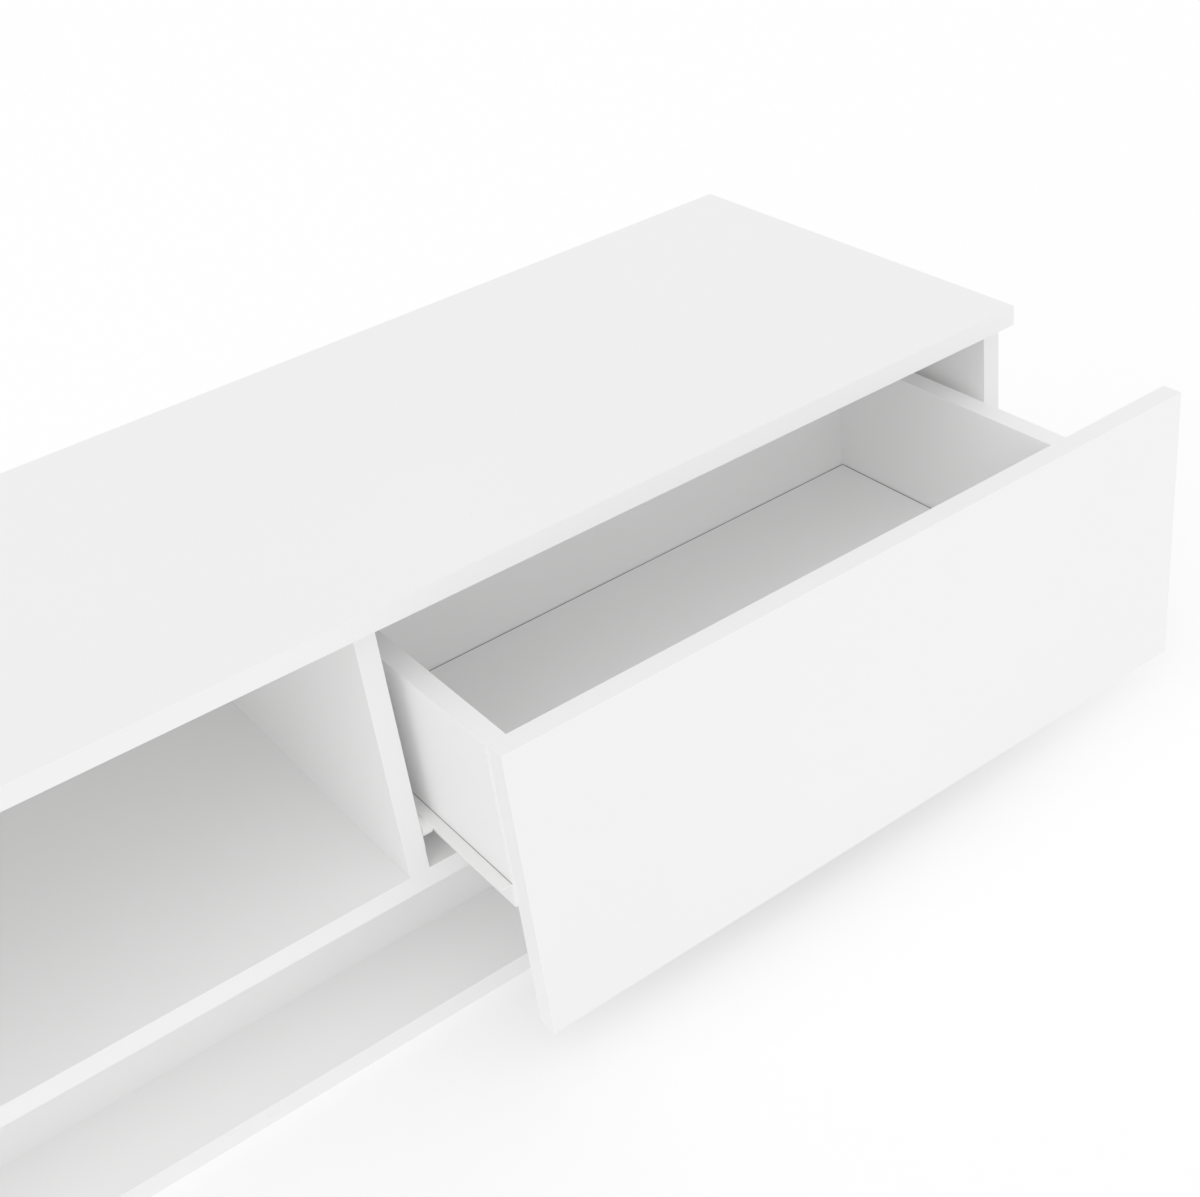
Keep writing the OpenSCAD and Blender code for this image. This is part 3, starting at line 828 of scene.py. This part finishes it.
def round_edges(bm, edges, radius, segments):
    """Rounds those of the edges that earlier rounding has left."""
    bmesh.ops.bevel(
        bm,
        geom=[edge for edge in edges if edge.is_valid],
        offset=radius,
        offset_type="OFFSET",
        segments=segments,
        profile=0.5,
        affect="EDGES",
        material=-1,
        clamp_overlap=True,
    )


def is_sharp(edge):
    """Whether two faces meet at an edge with a fold's bend or more."""
    return len(edge.link_faces) == 2 and edge.calc_face_angle() >= FOLD_ANGLE


def face_width(face):
    """Size of a face across the slide's run."""
    points = [v.co for v in face.verts]
    return max(max(p[i] for p in points) - min(p[i] for p in points) for i in (0, 2))


def folded_piece(node, settings, material):
    """Makes a slide's sheet with rounded folds and coated cut edges, for its CAD node."""
    bm = node_copy(node)
    folds, insides, cuts = [], [], []
    for edge in bm.edges:
        if not is_sharp(edge):
            continue
        run = edge.verts[1].co - edge.verts[0].co
        if abs(run.y) < SHORTEST_FOLD or abs(run.y) < ALONG_RUN * run.length:
            continue
        narrow = min(face_width(face) for face in edge.link_faces)
        if not edge.is_convex:
            insides.append(edge)
        elif narrow < CUT_FACE * settings.steel_t:
            cuts.append(edge)
        else:
            folds.append(edge)
    round_edges(bm, folds, settings.steel_t + settings.inner_fold_r, FOLD_STEPS)
    round_edges(bm, insides, settings.inner_fold_r, SMALL_STEPS)
    round_edges(bm, cuts, settings.cut_r, SMALL_STEPS)
    piece = add_piece(node + "_folded", bm, [material], node)
    finish_shading(piece)


def turned_piece(node, settings, material):
    """Makes a roller with its moulded edges rounded, for its CAD node."""
    bm = node_copy(node)
    rims = [edge for edge in bm.edges if is_sharp(edge)]
    round_edges(bm, rims, settings.rim_r, RIM_STEPS)
    piece = add_piece(node + "_moulded", bm, [material], node)
    finish_shading(piece)


def dress(node, material):
    """Gives a CAD node this material on its object's own slots."""
    for slot in frame["nodes"][node].material_slots:
        slot.link = "OBJECT"
        slot.material = material


# ---- operators ---------------------------------------------------------------------


class STAND_OT_carcass_boards(bpy.types.Operator):
    """Builds the top, side, divider and bottom boards"""

    bl_idname = "stand.carcass_boards"
    bl_label = "Carcass boards"

    def execute(self, context):
        settings = context.scene.stand_boards
        for number, node in enumerate(CARCASS_BOARDS):
            materials = board_materials(settings, number * PATTERN_STEP)
            faced_piece(node, settings, materials)
        return {"FINISHED"}


class STAND_OT_plinth_boards(bpy.types.Operator):
    """Builds the base board and the recessed plinth on it"""

    bl_idname = "stand.plinth_boards"
    bl_label = "Plinth boards"

    def execute(self, context):
        settings = context.scene.stand_boards
        for number, node in enumerate(PLINTH_BOARDS):
            materials = board_materials(settings, number * PATTERN_STEP + PLINTH_PATTERN)
            faced_piece(node, settings, materials)
        return {"FINISHED"}


class STAND_OT_drawer_boards(bpy.types.Operator):
    """Builds both drawers' fronts, sides, backs and floors"""

    bl_idname = "stand.drawer_boards"
    bl_label = "Drawer boards"

    def execute(self, context):
        settings = context.scene.stand_boards
        slides = context.scene.stand_slides
        fold_r = slides.steel_t + slides.inner_fold_r
        for hand in HANDS:
            for number, name in enumerate(DRAWER_BOARDS):
                materials = board_materials(settings, number * PATTERN_STEP + DRAWER_PATTERN)
                gaps = drawer_gaps(hand, name, settings.gap_depth, fold_r)
                faced_piece(f"{hand}_{name}", settings, materials, gaps)
        return {"FINISHED"}


class STAND_OT_slides(bpy.types.Operator):
    """Builds the tracks, runners and rollers of both drawers"""

    bl_idname = "stand.slides"
    bl_label = "Roller slides"

    def execute(self, context):
        settings = context.scene.stand_slides
        steel = coated_steel(tuple(settings.steel_colour))
        nylon = moulded_nylon(tuple(settings.nylon_colour))
        for hand in HANDS:
            for wall in WALLS:
                for part in ("track", "runner"):
                    folded_piece(f"{hand}_{wall}_{part}", settings, steel)
                    turned_piece(f"{hand}_{wall}_{part}_roller", settings, nylon)
        return {"FINISHED"}


class STAND_OT_fixings(bpy.types.Operator):
    """Finishes the screws, cams, pins, rivets and dowels, and the hardboard back"""

    bl_idname = "stand.fixings"
    bl_label = "Fixings and back"

    def execute(self, context):
        settings = context.scene.stand_fixings
        zinc = zinc_plate(tuple(settings.zinc_colour))
        beech = beech_wood(tuple(settings.beech_colour))
        dress("back_board", painted_hardboard(tuple(settings.back_colour)))
        dress("carcass_dowels", beech)
        for node in ZINC_FIXINGS:
            dress(node, zinc)
        for hand in HANDS:
            dress(f"{hand}_drawer_dowels", beech)
            for name in DRAWER_ZINC_FIXINGS:
                dress(f"{hand}_{name}", zinc)
        return {"FINISHED"}


class STAND_OT_stage(bpy.types.Operator):
    """Adds the pale floor, the soft lights and the camera"""

    bl_idname = "stand.stage"
    bl_label = "Stage"

    def execute(self, context):
        settings = context.scene.stand_stage
        add_floor(settings)
        add_surround(settings)
        for name, strength, turn in (
            ("front light", settings.front_light, settings.front_light_turn),
            ("top light", settings.top_light, settings.top_light_turn),
        ):
            add_soft_light(name, strength, turn, settings.softness)
        add_camera(settings)
        context.scene.view_settings.view_transform = "Standard"
        context.scene.view_settings.gamma = settings.gamma
        return {"FINISHED"}


def add_floor(settings):
    """A round white sweep, lit from within like a studio table."""
    bm = bmesh.new()
    bmesh.ops.create_circle(bm, cap_ends=True, segments=FLOOR_STEPS, radius=FLOOR_R)
    mesh = bpy.data.meshes.new("floor")
    bm.to_mesh(mesh)
    bm.free()
    floor = bpy.data.objects.new("floor", mesh)
    bpy.context.scene.collection.objects.link(floor)
    material, shader = new_material("pale floor", (0.92, 0.92, 0.92), roughness=0.8)
    place = object_coordinates(material)
    tone = vary_colour(
        material,
        place,
        scale=90.0,
        detail=4.0,
        stops=[(0.3, (0.91,) * 3), (0.7, (0.93,) * 3)],
    )
    feed(shader, "Base Color", tone)
    shader.inputs["Specular IOR Level"].default_value = 0.2
    shader.inputs["Emission Color"].default_value = (1.0, 1.0, 1.0, 1.0)
    shader.inputs["Emission Strength"].default_value = settings.floor_glow
    mesh.materials.append(material)


def add_surround(settings):
    """A gentle white world that looks plain white where the camera sees it."""
    world = bpy.data.worlds.new("white surround")
    world.use_nodes = True
    nodes, links = world.node_tree.nodes, world.node_tree.links
    background = nodes["Background"]
    background.inputs["Color"].default_value = (1.0, 1.0, 1.0, 1.0)
    path = nodes.new("ShaderNodeLightPath")
    strength = nodes.new("ShaderNodeMapRange")
    strength.inputs["To Min"].default_value = settings.world_light
    strength.inputs["To Max"].default_value = 1.0
    links.new(path.outputs["Is Camera Ray"], strength.inputs["Value"])
    links.new(strength.outputs["Result"], background.inputs["Strength"])
    bpy.context.scene.world = world


def aim(azimuth, elevation):
    """The turn of a light or camera that looks in from this azimuth and elevation, in degrees."""
    around = Matrix.Rotation(math.radians(azimuth), 4, "Z")
    return around @ Matrix.Rotation(math.radians(90.0 - elevation), 4, "X")


def add_soft_light(name, strength, turn, softness):
    """A wide soft light from this azimuth and elevation."""
    data = bpy.data.lights.new(name, "SUN")
    data.energy = strength
    data.angle = math.radians(softness)
    light = bpy.data.objects.new(name, data)
    light.matrix_world = aim(*turn)
    bpy.context.scene.collection.objects.link(light)


def add_camera(settings):
    """The camera, at its place and turn."""
    azimuth, elevation, roll = settings.camera_turn
    data = bpy.data.cameras.new("camera")
    data.sensor_width = SENSOR_W
    data.lens = settings.lens
    data.shift_x = settings.lens_shift
    camera = bpy.data.objects.new("camera", data)
    place = Matrix.Translation(settings.camera_place)
    tilt = Matrix.Rotation(math.radians(roll), 4, "Z")
    camera.matrix_world = place @ aim(azimuth, elevation) @ tilt
    bpy.context.scene.collection.objects.link(camera)
    bpy.context.scene.camera = camera


class STAND_PT_panel(bpy.types.Panel):
    """The stand's steps, in their order"""

    bl_label = "Television stand"
    bl_idname = "STAND_PT_panel"
    bl_space_type = "VIEW_3D"
    bl_region_type = "UI"
    bl_category = "Stand"

    def draw(self, context):
        for operator in OPERATORS:
            self.layout.operator(operator.bl_idname)


SETTINGS = {
    "stand_boards": StandBoardSettings,
    "stand_slides": StandSlideSettings,
    "stand_fixings": StandFixingSettings,
    "stand_stage": StandStageSettings,
}
OPERATORS = (
    STAND_OT_carcass_boards,
    STAND_OT_plinth_boards,
    STAND_OT_drawer_boards,
    STAND_OT_slides,
    STAND_OT_fixings,
    STAND_OT_stage,
)


def register():
    for group in SETTINGS.values():
        bpy.utils.register_class(group)
    for name, group in SETTINGS.items():
        setattr(bpy.types.Scene, name, PointerProperty(type=group))
    for item in (*OPERATORS, STAND_PT_panel):
        bpy.utils.register_class(item)


def unregister():
    for item in (STAND_PT_panel, *reversed(OPERATORS)):
        bpy.utils.unregister_class(item)
    for name, group in SETTINGS.items():
        delattr(bpy.types.Scene, name)
        bpy.utils.unregister_class(group)


def main():
    register()
    bpy.ops.stand.carcass_boards()
    bpy.ops.stand.plinth_boards()
    bpy.ops.stand.drawer_boards()
    bpy.ops.stand.slides()
    bpy.ops.stand.fixings()
    bpy.ops.stand.stage()


if __name__ == "__main__":
    main()
